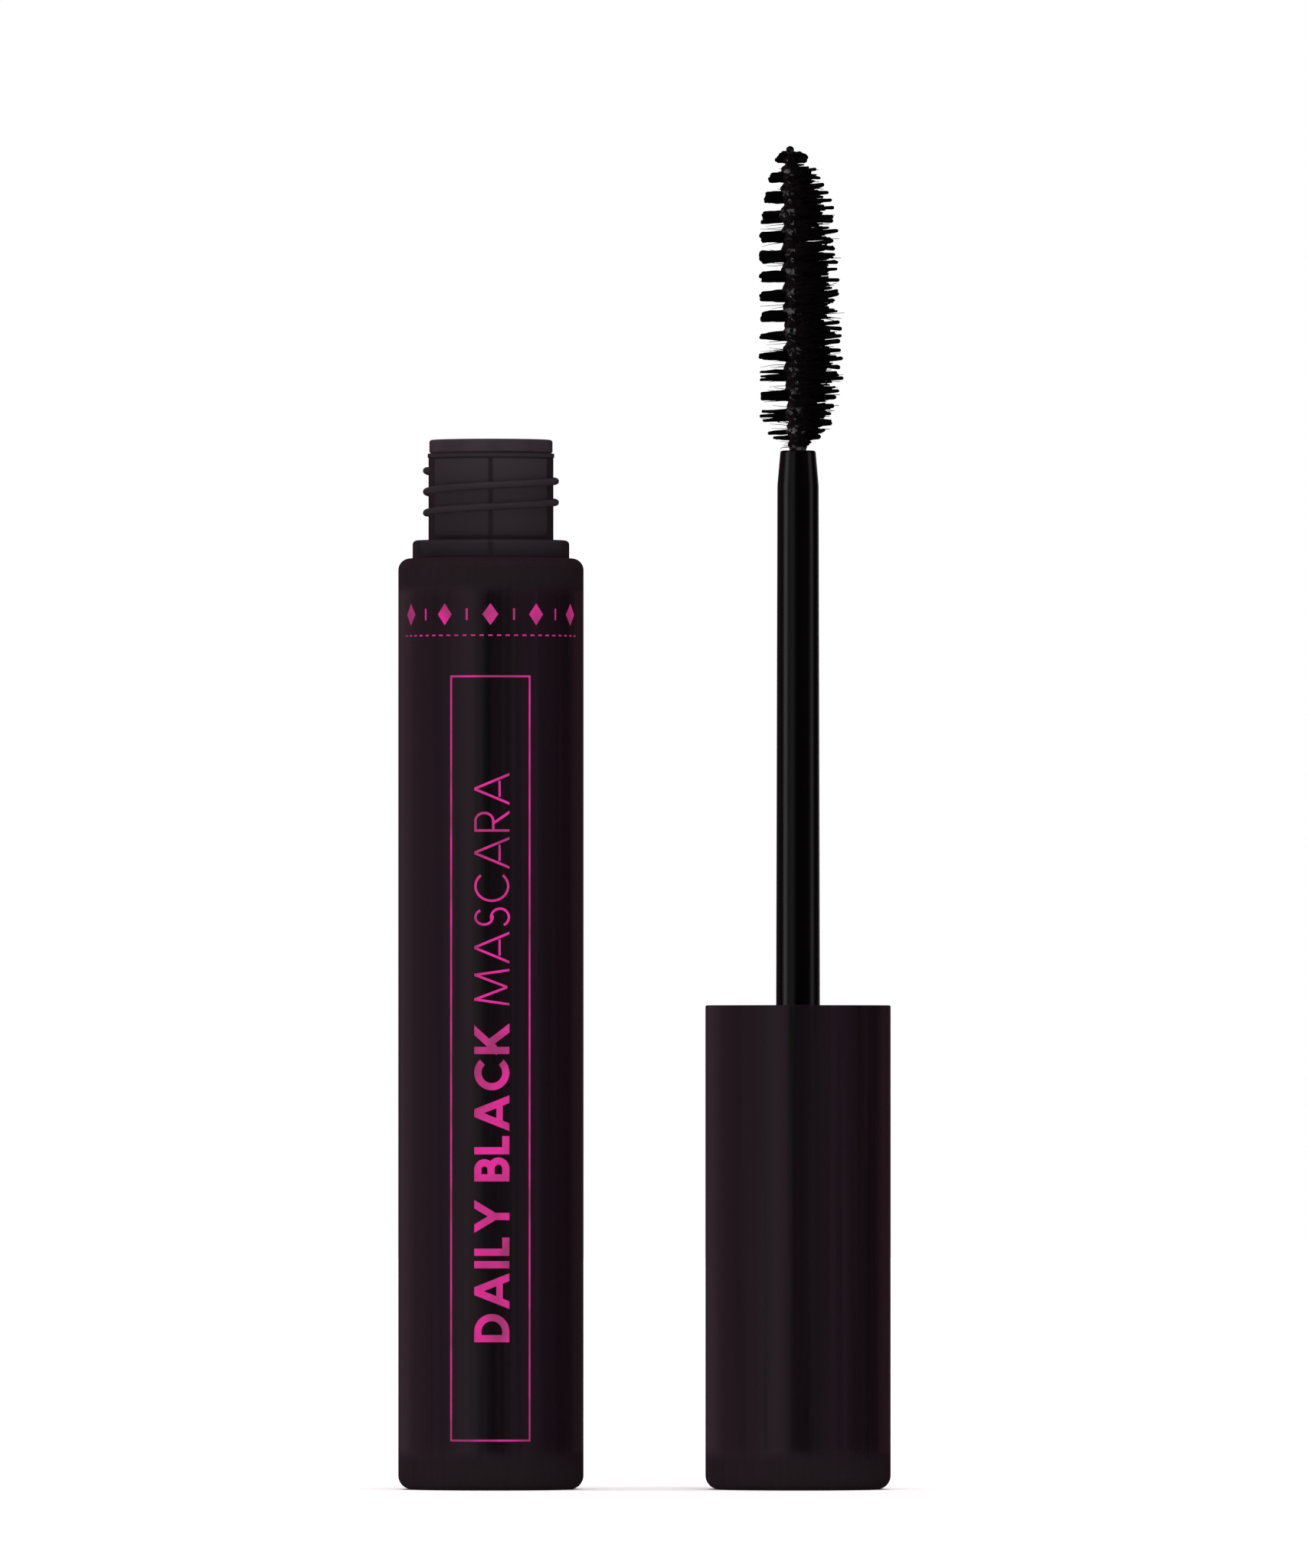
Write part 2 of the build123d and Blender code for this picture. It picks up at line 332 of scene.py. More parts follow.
def turned(name, profile, axis_x=0.0, around=192, ends="capped"):
    """Surface of revolution: the profile point (r, z) goes round the upright axis at axis_x, so
    x = axis_x + r cos a and y = r sin a. The profile runs with the solid on its left."""
    r, z = (np.asarray(profile, float) * MM).T[:, :, None]
    a = np.linspace(0, 2 * np.pi, around, endpoint=False)[None]
    rings = np.stack(np.broadcast_arrays(axis_x + r * np.cos(a), r * np.sin(a), z), -1)
    return skin(name, rings[None], ends)


def finish_of(name, colour, roughness, **settings):
    """Material with one Principled shader, its constant values on the shader's own sockets.
    Returns the material, its node tree and the shader."""
    material = bpy.data.materials.new(name)
    material.use_nodes = True
    tree = material.node_tree
    shader = tree.nodes["Principled BSDF"]
    shader.inputs["Base Color"].default_value = (*colour, 1)
    shader.inputs["Roughness"].default_value = roughness
    for socket, value in settings.items():
        shader.inputs[socket.replace("_", " ")].default_value = value
    return material, tree, shader


def math_of(tree, operation, *values):
    """Math node on sockets or numbers."""
    node = node_of(tree, "ShaderNodeMath", operation=operation)
    for socket, value in zip(node.inputs, values):
        if isinstance(value, (int, float)):
            socket.default_value = value
        else:
            tree.links.new(value, socket)
    return node.outputs[0]


def step_of(tree, value, start, end, low=0.0, high=1.0):
    """Smooth step of a value from low to high between start and end."""
    node = node_of(tree, "ShaderNodeMapRange", interpolation_type="SMOOTHSTEP")
    for socket, number in zip(list(node.inputs)[1:5], (start, end, low, high)):
        socket.default_value = number
    tree.links.new(value, node.inputs["Value"])
    return node.outputs["Result"]


def place_of(tree):
    """The piece's own x, y and z in metres."""
    place = node_of(tree, "ShaderNodeTexCoord")
    parts = node_of(tree, "ShaderNodeSeparateXYZ")
    tree.links.new(place.outputs["Object"], parts.inputs[0])
    return parts.outputs


def blend_of(tree, fac, low, high):
    """Mix of two colours, each a socket or a colour, by a factor."""
    node = node_of(tree, "ShaderNodeMix", data_type="RGBA")
    for socket, value in zip((node.inputs[0], node.inputs[6], node.inputs[7]), (fac, low, high)):
        if isinstance(value, tuple):
            socket.default_value = (*value, 1)
        else:
            tree.links.new(value, socket)
    return node.outputs[2]


def noise_of(tree, scale, detail=3.0, stretch=(1, 1, 1)):
    """Noise over the piece's own coordinates, in features per metre, stretched by axis."""
    place = node_of(tree, "ShaderNodeTexCoord")
    mapping = node_of(tree, "ShaderNodeMapping")
    mapping.inputs["Scale"].default_value = stretch
    noise = node_of(tree, "ShaderNodeTexNoise", Scale=scale, Detail=detail)
    tree.links.new(place.outputs["Object"], mapping.inputs["Vector"])
    tree.links.new(mapping.outputs["Vector"], noise.inputs["Vector"])
    return noise.outputs["Fac"]


def vary_colour(tree, shader, fac, low, high, spread=0.2):
    """Drives the base colour from low to high over the middle of a noise."""
    ramp = node_of(tree, "ShaderNodeValToRGB")
    for element, side, colour in zip(ramp.color_ramp.elements, (-1, 1), (low, high)):
        element.position = 0.5 + side * spread
        element.color = (*colour, 1)
    tree.links.new(fac, ramp.inputs["Fac"])
    tree.links.new(ramp.outputs["Color"], shader.inputs["Base Color"])


def vary_roughness(tree, shader, fac, low, high):
    """Drives the roughness from low to high over a noise."""
    band = node_of(tree, "ShaderNodeMapRange")
    band.inputs["From Min"].default_value = 0.3
    band.inputs["From Max"].default_value = 0.7
    band.inputs["To Min"].default_value = low
    band.inputs["To Max"].default_value = high
    tree.links.new(fac, band.inputs["Value"])
    tree.links.new(band.outputs["Result"], shader.inputs["Roughness"])


def raise_bump(tree, shader, fac, strength, depth):
    """Adds bumps of that depth in millimetres from a noise."""
    bump = node_of(tree, "ShaderNodeBump", Strength=strength, Distance=depth * MM)
    tree.links.new(fac, bump.inputs["Height"])
    tree.links.new(bump.outputs["Normal"], shader.inputs["Normal"])


shell_black, tree, shader = finish_of(
    "shell_black", (0.0026, 0.002, 0.0025), 0.17, Specular_IOR_Level=0.5
)
z = place_of(tree)["Z"]
matt_band = math_of(
    tree,
    "ADD",
    step_of(tree, z, *(level * MM for level in BASE_BAND)),
    step_of(tree, z, *(level * MM for level in MOUTH_BAND)),
)
plum = node_of(tree, "ShaderNodeValToRGB")
for element, place, colour in zip(
    plum.color_ramp.elements, (0.4, 0.6), (STREAK_DARK, STREAK_PLUM)
):
    element.position = place
    element.color = (*colour, 1)
tree.links.new(noise_of(tree, 1300, 4, (1, 1, 0.012)), plum.inputs["Fac"])
tree.links.new(
    blend_of(tree, matt_band, plum.outputs["Color"], BAND_PLUM), shader.inputs["Base Color"]
)
streaks = step_of(tree, noise_of(tree, 1500, 3, (1, 1, 0.01)), 0.3, 0.7, 0.14, 0.21)
band_rough = step_of(tree, matt_band, 0, 1, 0, 0.6)
tree.links.new(math_of(tree, "ADD", streaks, band_rough), shader.inputs["Roughness"])
raise_bump(tree, shader, noise_of(tree, 1500, 3, (1, 1, 0.012)), 0.8, 0.02)

sleeve = turned(
    "sleeve",
    outline(
        (POLE, 0),
        (OUTER_RADIUS, 0, BASE_EDGE),
        (OUTER_RADIUS, SLEEVE_HEIGHT, SHOULDER_EDGE),
        (SLEEVE_BORE, SLEEVE_HEIGHT),
        (SLEEVE_BORE, SLEEVE_FLOOR),
        (POLE, SLEEVE_FLOOR),
    ),
)
sleeve.data.materials.append(shell_black)
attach(sleeve, "tube")
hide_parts("outer_sleeve")

# ---------------------------------------------------------------------------------------
# Foil print: magenta foil hot-stamped on the sleeve, an outline frame with plain lettering
# that reads upwards, and a row of lozenges over a row of dashes near the shoulder.
# ---------------------------------------------------------------------------------------

FOIL_PALE = (0.62, 0.013, 0.25)
FOIL_DEEP = (0.3, 0.022, 0.125)
FOIL_SINK = 0.02
FOIL_RISE = 0.012
FOIL_LAYER = 0.0006
# Section of a stroke: places across it from -1 to 1, and which of them are sunk in the wall.
SECTION_ACROSS = np.array([-1, -1, -0.6, -0.2, 0.2, 0.6, 1, 1, 0.6, 0.2, -0.2, -0.6])
SECTION_SUNK = np.array([1, 0, 0, 0, 0, 0, 0, 1, 1, 1, 1, 1], bool)
FRAME_HALF = 3.81
FRAME_BOTTOM = 4.71
FRAME_TOP = 76.65
FRAME_LINE = 0.185
FRAME_EDGE = FRAME_HALF + FRAME_LINE / 2
CAP_HEIGHT = 3.32
BASELINE = 1.8
LIGHT_GAP = 0.53
LIGHT_SQUEEZE = 0.89
BOLD = 0.205
LIGHT = 0.068
BOLD_START = 13.97
BOLD_GAP = 0.49
WORD_GAP = 1.8
LIGHT_START = 45.67

foil_strokes = []


def stroke(across, up, width_across, width_up):
    """Keeps one stroke of foil: its centre line runs through across (round the sleeve, from
    the front) and up, and its edges lie half of (width_across, width_up) to each side."""
    across, up, wide_a, wide_u = np.broadcast_arrays(across, up, width_across, width_up)
    foil_strokes.append((across, up, wide_a / 2, wide_u / 2))


def stamp(name, strokes, steps=33):
    """Foil strokes bent round the sleeve: u round it from the front is at x = R sin(u / R),
    y = -R cos(u / R), and each stroke is a closed band from R - FOIL_SINK to R + FOIL_RISE,
    each laid a hair over the last."""
    bands = []
    for layer, (across, up, wide_a, wide_u) in enumerate(strokes):
        along = np.linspace(0, len(across) - 1, steps)
        track = np.arange(len(across))
        a, u, wa, wu = (np.interp(along, track, value) for value in (across, up, wide_a, wide_u))
        top = OUTER_RADIUS + FOIL_RISE + layer % 12 * FOIL_LAYER
        radius = np.where(SECTION_SUNK, OUTER_RADIUS - FOIL_SINK, top)
        angle = (a[:, None] + wa[:, None] * SECTION_ACROSS) / OUTER_RADIUS
        height = u[:, None] + wu[:, None] * SECTION_ACROSS
        bands.append(np.stack([radius * np.sin(angle), -radius * np.cos(angle), height], -1))
    piece = skin(name, np.array(bands) * MM, sharp=30)
    piece.data.materials.append(foil_magenta)
    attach(piece, "tube")
    return piece


foil_magenta, tree, shader = finish_of(
    "foil_magenta", (0.62, 0.02, 0.26), 0.34, Specular_IOR_Level=0.3
)
sheen = noise_of(tree, 330, 1, (1.2, 1.2, 0.8))
vary_colour(tree, shader, sheen, FOIL_DEEP, FOIL_PALE, 0.14)
vary_roughness(tree, shader, noise_of(tree, 1500, 3), 0.28, 0.42)
raise_bump(tree, shader, noise_of(tree, 5000, 2), 0.12, 0.004)


def straight(weight, start, end):
    """Letter stroke from start to end in cap heights, cut level at its ends unless it is
    itself level: then its width runs up the letter."""
    (x0, y0), (x1, y1) = start, end
    line = np.array([[x0, y0], [x1, y1]])
    if y0 == y1:
        return line, (0, weight)
    lean = weight * math.hypot(x1 - x0, y1 - y0) / abs(y1 - y0)
    return line, (lean, 0)


def bowed(weight, centre, radius, start, end):
    """Letter stroke along an ellipse's arc from start to end degrees, with its width square
    to the arc."""
    turn = np.radians(np.linspace(start, end, 33))
    line = np.array(centre) + np.array(radius) * np.stack([np.cos(turn), np.sin(turn)], -1)
    normal = np.stack([np.cos(turn) * radius[1], np.sin(turn) * radius[0]], -1)
    return line, weight * normal / np.linalg.norm(normal, axis=1, keepdims=True)


def letter(sign, w):
    """Strokes and width of a plain geometric capital, in cap heights, for a stroke weight w:
    upright and slanting stems, level bars and round bowls. What is no other sign is a Y."""
    h = w / 2
    if sign == "A":
        return [
            straight(w, (h, 0), (0.5, 1)),
            straight(w, (1 - h, 0), (0.5, 1)),
            straight(w * 0.9, (0.24, 0.28), (0.76, 0.28)),
        ], 1.0
    if sign == "B":
        return [
            straight(w, (h, 0), (h, 1)),
            straight(w, (h, 1 - h), (0.36, 1 - h)),
            straight(w, (h, 0.52), (0.38, 0.52)),
            straight(w, (h, h), (0.38, h)),
            bowed(w, (0.34, 0.76 - h / 2), (0.24 - h / 2, 0.24 - h / 2), 90, -90),
            bowed(w, (0.36, 0.26 + h / 2), (0.27 - h / 2, 0.26 - h / 2), 90, -90),
        ], 0.62
    if sign == "C":
        return [bowed(w, (0.5, 0.5), (0.5 - h, 0.5 - h), 42, 318)], 0.88
    if sign == "D":
        return [
            straight(w, (h, 0), (h, 1)),
            straight(w, (h, 1 - h), (0.32, 1 - h)),
            straight(w, (h, h), (0.32, h)),
            bowed(w, (0.3, 0.5), (0.5 - h, 0.5 - h), 90, -90),
        ], 0.8
    if sign == "I":
        return [straight(w, (h, 0), (h, 1))], w
    if sign == "K":
        return [
            straight(w, (h, 0), (h, 1)),
            straight(w, (h, 0.36), (0.68, 1)),
            straight(w, (0.3, 0.58), (0.74, 0)),
        ], 0.8
    if sign == "L":
        return [straight(w, (h, 0), (h, 1)), straight(w, (h, h), (0.52, h))], 0.52
    if sign == "M":
        return [
            straight(w, (h, 0), (0.16 + h, 1)),
            straight(w, (0.18, 1), (0.58, 0.06)),
            straight(w, (0.58, 0.06), (0.98, 1)),
            straight(w, (1.16 - h, 0), (1.0 - h, 1)),
        ], 1.16
    if sign == "R":
        return [
            straight(w, (h, 0), (h, 1)),
            straight(w, (h, 1 - h), (0.36, 1 - h)),
            straight(w, (h, 0.46), (0.36, 0.46)),
            bowed(w, (0.34, 0.73 - h / 2), (0.27 - h / 2, 0.27 - h / 2), 90, -90),
            straight(w, (0.26, 0.46), (0.62, 0)),
        ], 0.68
    if sign == "S":
        return [
            bowed(w, (0.29, 0.74 - h / 2), (0.25 - h / 2, 0.26 - h / 2), 25, 285),
            bowed(w, (0.29, 0.25 + h / 2), (0.29 - h / 2, 0.27 - h / 2), 105, -155),
        ], 0.6
    return [
        straight(w, (h, 1), (0.45, 0.42)),
        straight(w, (0.9 - h, 1), (0.45, 0.42)),
        straight(w, (0.45, 0), (0.45, 0.46)),
    ], 0.9


def word(text, start, gap, weight, squeeze=1.0):
    """Stamps a word that reads up the sleeve from start, with that gap between its letters,
    and returns the height at which it ends."""
    shapes = [letter(sign, weight) for sign in text]
    gap /= CAP_HEIGHT * squeeze
    place = 0.0
    for strokes, width in shapes:
        for line, widths in strokes:
            wide_along, wide_high = np.moveaxis(np.array(widths), -1, 0)
            stroke(
                BASELINE - line[:, 1] * CAP_HEIGHT,
                start + (place + line[:, 0]) * squeeze * CAP_HEIGHT,
                -wide_high * CAP_HEIGHT,
                wide_along * CAP_HEIGHT,
            )
        place += width + gap
    return start + (place - gap) * squeeze * CAP_HEIGHT


for side in (-1, 1):
    stroke([side * FRAME_HALF] * 2, [FRAME_BOTTOM, FRAME_TOP], FRAME_LINE, 0)
for level in (FRAME_BOTTOM, FRAME_TOP):
    stroke([-FRAME_EDGE, FRAME_EDGE], [level] * 2, 0, -FRAME_LINE)
stamp("foil_frame", foil_strokes)

foil_strokes.clear()
bold_end = word("DAILY", BOLD_START, BOLD_GAP, BOLD)
word("BLACK", bold_end + WORD_GAP, BOLD_GAP, BOLD)
word("MASCARA", LIGHT_START, LIGHT_GAP, LIGHT, LIGHT_SQUEEZE)
stamp("foil_lettering", foil_strokes)

LOZENGE_LEVEL = 82.5
LOZENGE_STEP = 4.5
LOZENGE_HALF = (0.75, 1.02)
LOZENGE_TIP = 0.02
BAR_HALF = (0.1, 0.55)
DASH_LEVEL = 80.52
DASH_STEP = 0.82
DASH_HALF = (0.2, 0.07)

foil_strokes.clear()
for i in range(-2, 3):
    centre = i * LOZENGE_STEP
    stroke(
        [centre] * 3,
        [LOZENGE_LEVEL - LOZENGE_HALF[1], LOZENGE_LEVEL, LOZENGE_LEVEL + LOZENGE_HALF[1]],
        np.array([LOZENGE_TIP, 2 * LOZENGE_HALF[0], LOZENGE_TIP]),
        0,
    )
for i in (-1.5, -0.5, 0.5, 1.5):
    stroke(
        [i * LOZENGE_STEP] * 2,
        [LOZENGE_LEVEL - BAR_HALF[1], LOZENGE_LEVEL + BAR_HALF[1]],
        2 * BAR_HALF[0],
        0,
    )
for i in range(-12, 13):
    stroke(
        [i * DASH_STEP - DASH_HALF[0], i * DASH_STEP + DASH_HALF[0]],
        [DASH_LEVEL] * 2,
        0,
        -2 * DASH_HALF[1],
    )
stamp("foil_ornament", foil_strokes, steps=9)

# ---------------------------------------------------------------------------------------
# Inner bottle: blow-moulded in satin near-black polypropylene and pressed into the sleeve. Over
# the sleeve's rim stand its collar and the neck, with a bead and a right-hand thread.
# ---------------------------------------------------------------------------------------

bottle_low, bottle_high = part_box("inner_bottle")
NECK_TOP = bottle_high.z / MM
BOTTLE_BASE = bottle_low.z / MM
BOTTLE_RADIUS = 7.2
BOTTLE_FLOOR = 3.2
BOTTLE_BORE = 6.1
BORE_TOP = 82.5
PRESS_BOTTOM = 84.5
PRESS_TOP = SLEEVE_HEIGHT - 0.02
COLLAR_RADIUS = 7.4
COLLAR_TOP = 89.6
NECK_RADIUS = 5.9
NECK_BORE = 4.7
BEAD_RADIUS = 5.98
BEAD_BOTTOM = 97.4
THREAD_START = 92.2
THREAD_PITCH = 2.0
THREAD_TURNS = 2.0
THREAD_WIDTH = 0.68
THREAD_HEIGHT = 0.57
THREAD_OVER = 0.04
THREAD_RUN_OUT = 0.035
RIDGE_SINK = 0.04
RIDGE_ROOT = 0.3

bottle = turned(
    "bottle",
    outline(
        (POLE, BOTTLE_BASE),
        (BOTTLE_RADIUS, BOTTLE_BASE, 0.8),
        (BOTTLE_RADIUS, PRESS_BOTTOM),
        (SLEEVE_BORE, PRESS_BOTTOM),
        (SLEEVE_BORE, PRESS_TOP),
        (COLLAR_RADIUS, PRESS_TOP),
        (COLLAR_RADIUS, COLLAR_TOP, 0.4),
        (NECK_RADIUS, COLLAR_TOP),
        (NECK_RADIUS, BEAD_BOTTOM),
        (BEAD_RADIUS, BEAD_BOTTOM + 0.02, 0.02),
        (BEAD_RADIUS, NECK_TOP, 0.05),
        (NECK_BORE, NECK_TOP),
        (NECK_BORE, PRESS_BOTTOM),
        (BOTTLE_BORE, BORE_TOP),
        (BOTTLE_BORE, BOTTLE_FLOOR),
        (POLE, BOTTLE_FLOOR),
    ),
)

bottle_satin_painted_light, tree, shader = finish_of(
    "bottle_satin_painted_light", (0.009, 0.0072, 0.0084), 0.4, Specular_IOR_Level=0.1
)
# Painted light: a dark line runs up the front and the back. To both sides of it the wall is
# painted paler, as if lit by the tent's side panels, by angle from that line in radians and by
# height. The bead at the rim gets a painted highlight too.
BOTTLE_DARK = (0.0112, 0.0088, 0.0102)
BOTTLE_PAINTED_LIGHT = (0.0262, 0.0214, 0.0256)
FRONT_BACK_EDGE = (0.02, 0.05)
LIGHT_SIDE_EDGE = (1.13, 1.09)
LIGHT_RAMP_BOTTOM = 87
LIGHT_RAMP_SPAN = 12
# Brightness of the painted light by height in millimetres, from 0 to 1.
PAINTED_LIGHT_LEVELS = (
    (88.0, 0.0),
    (89.0, 0.4),
    (89.4, 0.35),
    (89.6, 0.0),
    (89.9, 0.0),
    (90.1, 0.6),
    (95, 0.72),
    (97.2, 1.0),
    (97.3, 0.0),
)
BEAD_LOW_EDGE = (97.38, 97.43)
BEAD_HIGH_EDGE = (97.76, 97.7)
BEAD_HIGHLIGHT_LEVEL = 0.7
x, y, z = place_of(tree)
turn = math_of(tree, "ARCTAN2", x, math_of(tree, "MULTIPLY", y, -1))
from_square = math_of(tree, "SUBTRACT", math_of(tree, "ABSOLUTE", turn), math.pi / 2)
from_side = math_of(tree, "ABSOLUTE", from_square)
from_front_back = math_of(tree, "SUBTRACT", math.pi / 2, from_side)
# Painted light on both sides of the front and the back, fading out towards the sides.
painted_light = math_of(
    tree, "MULTIPLY", step_of(tree, from_front_back, *FRONT_BACK_EDGE), step_of(tree, from_front_back, *LIGHT_SIDE_EDGE)
)
light_by_height = node_of(tree, "ShaderNodeValToRGB")
for height, level in PAINTED_LIGHT_LEVELS[1:-1]:
    light_by_height.color_ramp.elements.new((height - LIGHT_RAMP_BOTTOM) / LIGHT_RAMP_SPAN)
for element, (height, level) in zip(light_by_height.color_ramp.elements, PAINTED_LIGHT_LEVELS):
    element.position = (height - LIGHT_RAMP_BOTTOM) / LIGHT_RAMP_SPAN
    element.color = (level, level, level, 1)
up_light_ramp = math_of(tree, "SUBTRACT", z, LIGHT_RAMP_BOTTOM * MM)
tree.links.new(math_of(tree, "DIVIDE", up_light_ramp, LIGHT_RAMP_SPAN * MM), light_by_height.inputs["Fac"])
painted_light = math_of(tree, "MULTIPLY", painted_light, light_by_height.outputs["Color"])
# A painted highlight along the bead at the rim, at a set level wherever the painted light there
# is dimmer.
painted_bead_highlight = math_of(
    tree,
    "MULTIPLY",
    step_of(tree, z, *(level * MM for level in BEAD_LOW_EDGE)),
    step_of(tree, z, *(level * MM for level in BEAD_HIGH_EDGE)),
)
painted_light = math_of(tree, "MAXIMUM", painted_light, math_of(tree, "MULTIPLY", painted_bead_highlight, BEAD_HIGHLIGHT_LEVEL))
tree.links.new(blend_of(tree, painted_light, BOTTLE_DARK, BOTTLE_PAINTED_LIGHT), shader.inputs["Base Color"])
vary_roughness(tree, shader, noise_of(tree, 800, 4), 0.35, 0.5)
raise_bump(tree, shader, noise_of(tree, 1200, 2), 0.12, 0.006)
bottle.data.materials.append(bottle_satin_painted_light)
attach(bottle, "tube")
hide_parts("inner_bottle")


def thread_ridge(name, radius, start, turns, first_angle, height):
    """Thread ridge carried up a helix on the wall at that radius: the section is a flattened
    half round, height cos(s)^0.6 over a width that runs from -90 to 90 degrees of s, with its
    root inside the wall. At each end the ridge comes down into the wall as a quarter sine."""
    steps = int(turns * 96)
    t = np.linspace(0, turns, steps)[:, None]
    s = np.radians(np.linspace(-90, 90, 13))[None]
    run_out = np.clip(np.minimum(t, turns - t) / THREAD_RUN_OUT, 0, 1)
    rise = height * np.sin(run_out * np.pi / 2)
    top = radius + (rise * np.cos(s) ** 0.6 - RIDGE_SINK)
    up = start + t * THREAD_PITCH + np.sin(s) * THREAD_WIDTH / 2 * (0.55 + 0.45 * run_out)
    wall = np.full((steps, 1), radius - RIDGE_ROOT)
    top = np.concatenate([top, wall], 1)
    up = np.concatenate([up, start + t * THREAD_PITCH], 1)
    turn = math.radians(first_angle) + 2 * np.pi * t
    ring = np.stack([top * np.cos(turn), top * np.sin(turn), up], -1)[:, ::-1]
    return skin(name, ring[None] * MM, sharp=50)


neck_thread = thread_ridge(
    "neck_thread",
    NECK_RADIUS,
    THREAD_START - THREAD_OVER * THREAD_PITCH,
    THREAD_TURNS + 2 * THREAD_OVER,
    180 - 360 * THREAD_OVER,
    THREAD_HEIGHT,
)
thread_satin, tree, shader = finish_of(
    "thread_satin", (0.02, 0.0166, 0.0196), 0.35, Specular_IOR_Level=0.2
)
cloudy = noise_of(tree, 500, 3)
vary_colour(tree, shader, cloudy, (0.0185, 0.0153, 0.0181), (0.0215, 0.0179, 0.0211))
vary_roughness(tree, shader, noise_of(tree, 800, 4), 0.3, 0.42)
raise_bump(tree, shader, noise_of(tree, 1200, 2), 0.12, 0.006)
neck_thread.data.materials.append(thread_satin)
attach(neck_thread, "tube")

# ---------------------------------------------------------------------------------------
# Wiper: moulded in soft polyethylene, a shade lighter. Its flange lies on the neck's rim, and
# its sleeve narrows inside the neck to the orifice that strips the wand.
# ---------------------------------------------------------------------------------------

wiper_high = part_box("wiper")[1]
FLANGE_TOP = wiper_high.z / MM
FLANGE_RADIUS = wiper_high.x / MM
ORIFICE_RADIUS = 2.15
ORIFICE_LIP = 2.9
ORIFICE_BOTTOM = 86.6
ORIFICE_TOP = 87.6
FUNNEL_TOP = 92.0
FUNNEL_RADIUS = 3.8
WIPER_RADIUS = 4.68
WIPER_MOUTH = 4.05

wiper = turned(
    "wiper_insert",
    outline(
        (ORIFICE_RADIUS, ORIFICE_BOTTOM),
        (ORIFICE_LIP, ORIFICE_BOTTOM, 0.15),
        (WIPER_RADIUS, FUNNEL_TOP),
        (WIPER_RADIUS, NECK_TOP - 0.02),
        (FLANGE_RADIUS - 0.14, NECK_TOP + 0.02),
        (FLANGE_RADIUS, NECK_TOP + 0.16),
        (FLANGE_RADIUS, FLANGE_TOP, 0.25),
        (WIPER_MOUTH, FLANGE_TOP, 0.2),
        (FUNNEL_RADIUS, FUNNEL_TOP),
        (ORIFICE_RADIUS, ORIFICE_TOP, 0.15),
        (ORIFICE_RADIUS, ORIFICE_BOTTOM + 0.3),
    ),
    ends="joined",
)
wiper_soft, tree, shader = finish_of(
    "wiper_soft", (0.028, 0.022, 0.027), 0.38, Specular_IOR_Level=0.5
)
cloudy = noise_of(tree, 400, 3)
vary_colour(tree, shader, cloudy, (0.022, 0.0178, 0.0212), (0.029, 0.0232, 0.0275))
vary_roughness(tree, shader, noise_of(tree, 900, 3), 0.3, 0.45)
raise_bump(tree, shader, noise_of(tree, 1600, 2), 0.15, 0.005)
wiper.data.materials.append(wiper_soft)
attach(wiper, "tube")
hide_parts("wiper")

# ---------------------------------------------------------------------------------------
# Mascara in the bottle: a thick black paste with the hollow that the brush leaves. It is out
# of sight under the wiper, so the plain solid stays and takes the paste's wet finish.
# ---------------------------------------------------------------------------------------

wet_paste, tree, shader = finish_of(
    "wet_paste", (0.0006, 0.0006, 0.0006), 0.28, Specular_IOR_Level=0.12
)
grain = noise_of(tree, 2500, 4)
vary_colour(tree, shader, grain, (0.0004, 0.0004, 0.0004), (0.001, 0.001, 0.001))
vary_roughness(tree, shader, noise_of(tree, 2600, 4), 0.1, 0.3)
raise_bump(tree, shader, noise_of(tree, 3000, 2), 0.9, 0.12)
frame["nodes"]["mascara_fill"].data.materials.clear()
frame["nodes"]["mascara_fill"].data.materials.append(wet_paste)

# ---------------------------------------------------------------------------------------
# Cap shell: moulded like the sleeve, in the same glossy near-black, closed at the end that it
# stands on. A step inside its mouth seats the inner cap.
# ---------------------------------------------------------------------------------------

cap_low, cap_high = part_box("cap_shell")
CAP_X = (cap_low.x + cap_high.x) / 2
CAP_LENGTH = cap_high.z / MM
CAP_MOUTH = 7.85
SOCKET_DEPTH = 10
LINER_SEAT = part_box("inner_cap")[0].z / MM + SOCKET_DEPTH

cap = turned(
    "cap",
    outline(
        (POLE, 0),
        (OUTER_RADIUS, 0, BASE_EDGE),
        (OUTER_RADIUS, CAP_LENGTH, 0.15),
        (CAP_MOUTH, CAP_LENGTH, 0.1),
        (CAP_MOUTH, LINER_SEAT),
        (SLEEVE_BORE, LINER_SEAT),
        (SLEEVE_BORE, SLEEVE_FLOOR),
        (POLE, SLEEVE_FLOOR),
    ),
    CAP_X,
)
cap.data.materials.append(shell_black)
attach(cap, "wand")
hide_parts("cap_shell")

# ---------------------------------------------------------------------------------------
# Inner cap and gasket: a satin black polypropylene liner with its thread and the stem's
# socket, and a pale foamed washer that lies on its seat.
# ---------------------------------------------------------------------------------------

liner_black, tree, shader = finish_of(
    "liner_black", (0.016, 0.0125, 0.0145), 0.4, Specular_IOR_Level=0.45
)
vary_colour(tree, shader, noise_of(tree, 500, 3), (0.014, 0.011, 0.013), (0.02, 0.016, 0.018))
vary_roughness(tree, shader, noise_of(tree, 900, 3), 0.34, 0.48)
raise_bump(tree, shader, noise_of(tree, 1800, 2), 0.15, 0.005)
frame["nodes"]["inner_cap"].data.materials.clear()
frame["nodes"]["inner_cap"].data.materials.append(liner_black)

